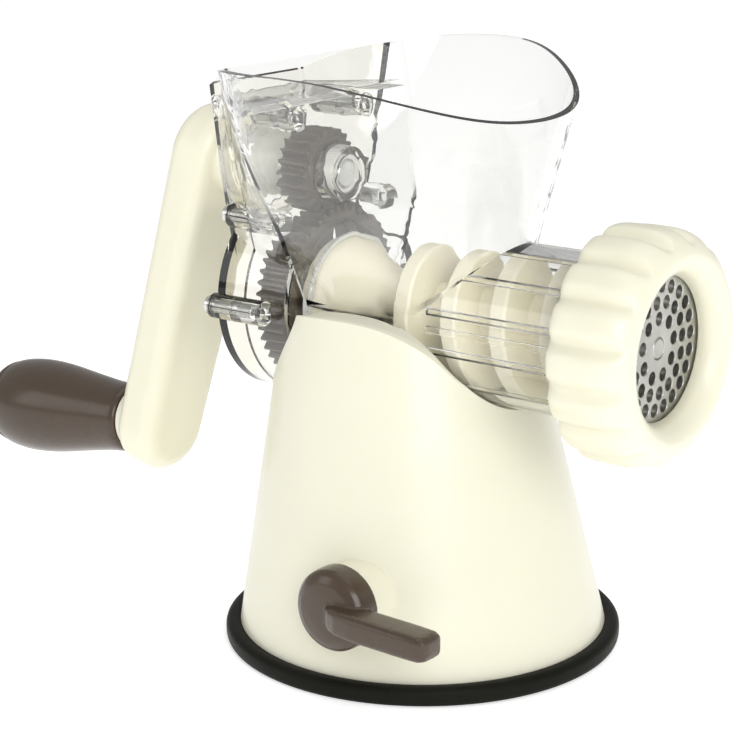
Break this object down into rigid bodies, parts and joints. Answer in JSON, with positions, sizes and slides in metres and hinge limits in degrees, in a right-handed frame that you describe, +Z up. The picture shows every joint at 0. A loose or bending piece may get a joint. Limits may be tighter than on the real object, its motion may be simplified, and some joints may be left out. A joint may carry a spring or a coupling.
{
  "type": "hand crank meat grinder",
  "caption": "Hand crank meat grinder: clear hopper and gear case, cream auger, ring nut and crank, steel hole plate, on a conical suction base with a lever.",
  "frame": {"origin": "centre of the rubber ring's bottom face, on the table", "axes": "+Z up; +X along the auger from the crank to the cutting plate; the suction lever is on the -Y side"},
  "size_m": [0.2952, 0.1494, 0.204],
  "materials": {
    "cream": "satin moulded",
    "cream_inner": "moulded",
    "black_rubber": "matt",
    "brown_gloss": "glossy",
    "brown_matte": "moulded",
    "clear_plastic": "clear, polished",
    "gear_taupe": "moulded",
    "auger_cream": "satin moulded",
    "steel": "ground",
    "screw_steel": "zinc plated",
    "bush_white": "moulded",
    "seal_white": "silicone"
  },
  "bodies": {
    "housing": {"base_shell": "cream", "saddle_cradle": "cream_inner", "spigot_washer": "screw_steel", "spigot_screw": "screw_steel", "rubber_ring": "black_rubber", "base_floor": "cream_inner", "base_screws": "screw_steel", "lever_bush": "bush_white", "grinder_body": "clear_plastic", "gear_cover": "clear_plastic", "cover_screws": "screw_steel", "pinion_front_bush": "bush_white", "pinion_rear_bush": "bush_white", "auger_rear_bush": "bush_white", "auger_seal": "seal_white", "grinding_plate": "steel"},
    "crank": {"pinion": "gear_taupe", "crank_arm": "cream", "crank_shaft": "screw_steel", "crank_washer": "bush_white", "crank_screw": "screw_steel", "crank_cap": "cream", "grip_spindle": "screw_steel"},
    "grip": {"grip": "brown_gloss", "grip_cap": "brown_gloss"},
    "auger": {"auger": "auger_cream", "drive_gear": "gear_taupe", "knife": "steel"},
    "lever": {"suction_lever": "brown_gloss", "lever_shaft": "screw_steel", "lever_cam": "brown_matte"},
    "cup": {"suction_cup": "black_rubber", "cup_stem": "brown_matte"},
    "gasket": {"nut_gasket": "seal_white"},
    "nut": {"ring_nut": "cream"}
  },
  "joints": [
    {"name": "crank_turn", "type": "hinge", "parent": "housing", "child": "crank", "pos_m": [-0.06, 0, 0.16175], "axis": [1, 0, 0], "continuous": true},
    {"name": "grip_spin", "type": "hinge", "parent": "crank", "child": "grip", "pos_m": [-0.12014, -0.01872, 0.06173], "axis": [0.9981, 0.0112, 0.06], "continuous": true},
    {"name": "auger_turn", "type": "hinge", "parent": "housing", "child": "auger", "pos_m": [0, 0, 0.118], "axis": [1, 0, 0], "continuous": true},
    {"name": "lever_turn", "type": "hinge", "parent": "housing", "child": "lever", "pos_m": [0.014, -0.05, 0.0318], "axis": [0, -1, 0], "range_deg": [0, 90]},
    {"name": "cup_lift", "type": "slide", "parent": "housing", "child": "cup", "axis": [0, 0, 1], "range_m": [0, 0.003]},
    {"name": "gasket_slide", "type": "slide", "parent": "housing", "child": "gasket", "axis": [1, 0, 0], "range_m": [0, 0.012]},
    {"name": "nut_turn", "type": "hinge", "parent": "gasket", "child": "nut", "pos_m": [0.085, 0, 0.118], "axis": [1, 0, 0], "range_deg": [0, 720]}
  ],
  "couplings": [
    {"joint": "auger_turn", "follows": "crank_turn", "ratio": -0.45833},
    {"joint": "cup_lift", "follows": "lever_turn", "m_per_rad": 0.0019099},
    {"joint": "gasket_slide", "follows": "nut_turn", "m_per_rad": 0.00095493}
  ]
}
